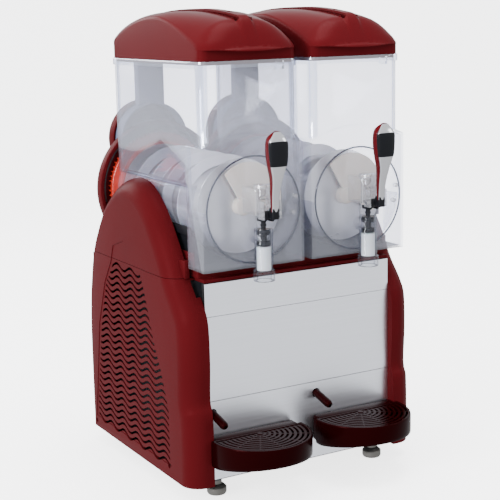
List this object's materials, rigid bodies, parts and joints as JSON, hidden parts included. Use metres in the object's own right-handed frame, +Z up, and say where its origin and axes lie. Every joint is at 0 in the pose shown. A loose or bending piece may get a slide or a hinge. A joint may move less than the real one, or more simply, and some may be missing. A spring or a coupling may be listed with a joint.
{
  "type": "slushie machine",
  "caption": "Countertop slush machine: clear bowls with augers and domed lids on a cooled cabinet, lever taps above round-fronted drip trays.",
  "frame": {"origin": "on the standing surface, at the middle of the machine's footprint", "axes": "+X to the right of a person facing the taps, +Y to the back, +Z up"},
  "size_m": [0.458, 0.516, 0.812],
  "materials": {
    "cover_red": "satin moulded plastic, dark red",
    "sheet_steel": "brushed",
    "chassis_steel": "galvanised sheet",
    "black_plastic": "matt moulded",
    "slate_plastic": "matt moulded",
    "clear_plastic": "clear polycarbonate",
    "frosted_plastic": "white, slightly translucent",
    "seal_orange": "silicone",
    "seal_black": "rubber",
    "stainless": "stainless",
    "spring_steel": "drawn wire",
    "lever_chrome": "bright",
    "compressor_black": "black enamel",
    "fin_aluminium": "mill",
    "cast_grey": "cast",
    "copper": "copper tube",
    "foot_grey": "grey"
  },
  "bodies": {
    "machine_body": {"side_cover_lower_left": "cover_red", "side_cover_lower_right": "cover_red", "side_cover_upper_left": "cover_red", "side_cover_upper_right": "cover_red", "deck": "cover_red", "bulkhead": "cover_red", "motor_covers": "cover_red", "drain_spouts": "cover_red", "front_panel_upper": "sheet_steel", "front_panel_middle": "sheet_steel", "front_panel_lower": "sheet_steel", "base_tray": "chassis_steel", "chassis_sides": "chassis_steel", "rear_panel": "chassis_steel", "panel_screws": "chassis_steel", "bowl_cradle": "black_plastic", "cable_inlet": "black_plastic", "fan_shroud": "black_plastic", "motor_housings": "slate_plastic", "bowl_seals": "seal_orange", "housing_gasket": "seal_black", "compressor_mounts": "seal_black", "evaporators": "stainless", "compressor": "compressor_black", "condenser": "fin_aluminium", "gearmotors": "cast_grey", "fan_motor": "cast_grey", "refrigerant_pipes": "copper"},
    "auger_left": {"auger_left": "frosted_plastic", "drive_shaft_left": "stainless"},
    "bowl_left": {"bowl_left": "clear_plastic", "lever_pin_left": "stainless"},
    "lid_left": {"lid_left": "cover_red"},
    "piston_left": {"tap_piston_left": "black_plastic", "tap_spring_left": "spring_steel"},
    "lever_left": {"lever_front_left": "lever_chrome", "lever_back_left": "cover_red", "lever_band_left": "black_plastic"},
    "drip_tray_left": {"drip_tray_left": "cover_red"},
    "drip_grid_left": {"drip_grid_left": "cover_red"},
    "foot_front_left": {"foot_front_left": "foot_grey"},
    "foot_back_left": {"foot_back_left": "foot_grey"},
    "auger_right": {"auger_right": "frosted_plastic", "drive_shaft_right": "stainless"},
    "bowl_right": {"bowl_right": "clear_plastic", "lever_pin_right": "stainless"},
    "lid_right": {"lid_right": "cover_red"},
    "piston_right": {"tap_piston_right": "black_plastic", "tap_spring_right": "spring_steel"},
    "lever_right": {"lever_front_right": "lever_chrome", "lever_back_right": "cover_red", "lever_band_right": "black_plastic"},
    "drip_tray_right": {"drip_tray_right": "cover_red"},
    "drip_grid_right": {"drip_grid_right": "cover_red"},
    "foot_front_right": {"foot_front_right": "foot_grey"},
    "foot_back_right": {"foot_back_right": "foot_grey"},
    "fan": {"fan_blades": "black_plastic"},
    "rocker_1": {"rocker_switch_1": "black_plastic"},
    "rocker_2": {"rocker_switch_2": "black_plastic"},
    "rocker_3": {"rocker_switch_3": "black_plastic"}
  },
  "joints": [
    {"name": "auger_turn_left", "type": "hinge", "parent": "machine_body", "child": "auger_left", "pos_m": [-0.1026, 0.041, 0.4895], "axis": [0, 1, 0], "continuous": true},
    {"name": "bowl_pull_left", "type": "slide", "parent": "machine_body", "child": "bowl_left", "axis": [0, -1, 0], "range_m": [0, 0.42]},
    {"name": "lid_lift_left", "type": "slide", "parent": "bowl_left", "child": "lid_left", "axis": [0, 0, 1], "range_m": [0, 0.12]},
    {"name": "lever_tilt_left", "type": "hinge", "parent": "bowl_left", "child": "lever_left", "pos_m": [-0.1026, -0.216, 0.488], "axis": [1, 0, 0], "range_deg": [0, 45], "stiffness_Nm_per_rad": 0.5, "springref_deg": -20.05},
    {"name": "piston_lift_left", "type": "slide", "parent": "bowl_left", "child": "piston_left", "axis": [0, 0, 1], "range_m": [0, 0.0186], "deforming": ["tap_spring_left"]},
    {"name": "tray_pull_left", "type": "slide", "parent": "machine_body", "child": "drip_tray_left", "axis": [0, -1, 0], "range_m": [0, 0.15]},
    {"name": "grid_lift_left", "type": "slide", "parent": "drip_tray_left", "child": "drip_grid_left", "axis": [0, 0, 1], "range_m": [0, 0.018]},
    {"name": "foot_screw_front_left", "type": "slide", "parent": "machine_body", "child": "foot_front_left", "axis": [0, 0, -1], "range_m": [0, 0.012]},
    {"name": "foot_screw_back_left", "type": "slide", "parent": "machine_body", "child": "foot_back_left", "axis": [0, 0, -1], "range_m": [0, 0.012]},
    {"name": "auger_turn_right", "type": "hinge", "parent": "machine_body", "child": "auger_right", "pos_m": [0.1026, 0.041, 0.4895], "axis": [0, 1, 0], "continuous": true},
    {"name": "bowl_pull_right", "type": "slide", "parent": "machine_body", "child": "bowl_right", "axis": [0, -1, 0], "range_m": [0, 0.42]},
    {"name": "lid_lift_right", "type": "slide", "parent": "bowl_right", "child": "lid_right", "axis": [0, 0, 1], "range_m": [0, 0.12]},
    {"name": "lever_tilt_right", "type": "hinge", "parent": "bowl_right", "child": "lever_right", "pos_m": [0.1026, -0.216, 0.488], "axis": [1, 0, 0], "range_deg": [0, 45], "stiffness_Nm_per_rad": 0.5, "springref_deg": -20.05},
    {"name": "piston_lift_right", "type": "slide", "parent": "bowl_right", "child": "piston_right", "axis": [0, 0, 1], "range_m": [0, 0.0186], "deforming": ["tap_spring_right"]},
    {"name": "tray_pull_right", "type": "slide", "parent": "machine_body", "child": "drip_tray_right", "axis": [0, -1, 0], "range_m": [0, 0.15]},
    {"name": "grid_lift_right", "type": "slide", "parent": "drip_tray_right", "child": "drip_grid_right", "axis": [0, 0, 1], "range_m": [0, 0.018]},
    {"name": "foot_screw_front_right", "type": "slide", "parent": "machine_body", "child": "foot_front_right", "axis": [0, 0, -1], "range_m": [0, 0.012]},
    {"name": "foot_screw_back_right", "type": "slide", "parent": "machine_body", "child": "foot_back_right", "axis": [0, 0, -1], "range_m": [0, 0.012]},
    {"name": "fan_spin", "type": "hinge", "parent": "machine_body", "child": "fan", "pos_m": [0.1, 0.041, 0.19], "axis": [1, 0, 0], "continuous": true},
    {"name": "rocker_1_tilt", "type": "hinge", "parent": "machine_body", "child": "rocker_1", "pos_m": [-0.04, 0.2277, 0.33], "axis": [1, 0, 0], "range_deg": [0, 16]},
    {"name": "rocker_2_tilt", "type": "hinge", "parent": "machine_body", "child": "rocker_2", "pos_m": [0, 0.2277, 0.33], "axis": [1, 0, 0], "range_deg": [0, 16]},
    {"name": "rocker_3_tilt", "type": "hinge", "parent": "machine_body", "child": "rocker_3", "pos_m": [0.04, 0.2277, 0.33], "axis": [1, 0, 0], "range_deg": [0, 16]}
  ],
  "couplings": [
    {"joint": "piston_lift_left", "follows": "lever_tilt_left", "m_per_rad": 0.0235},
    {"joint": "piston_lift_right", "follows": "lever_tilt_right", "m_per_rad": 0.0235}
  ]
}
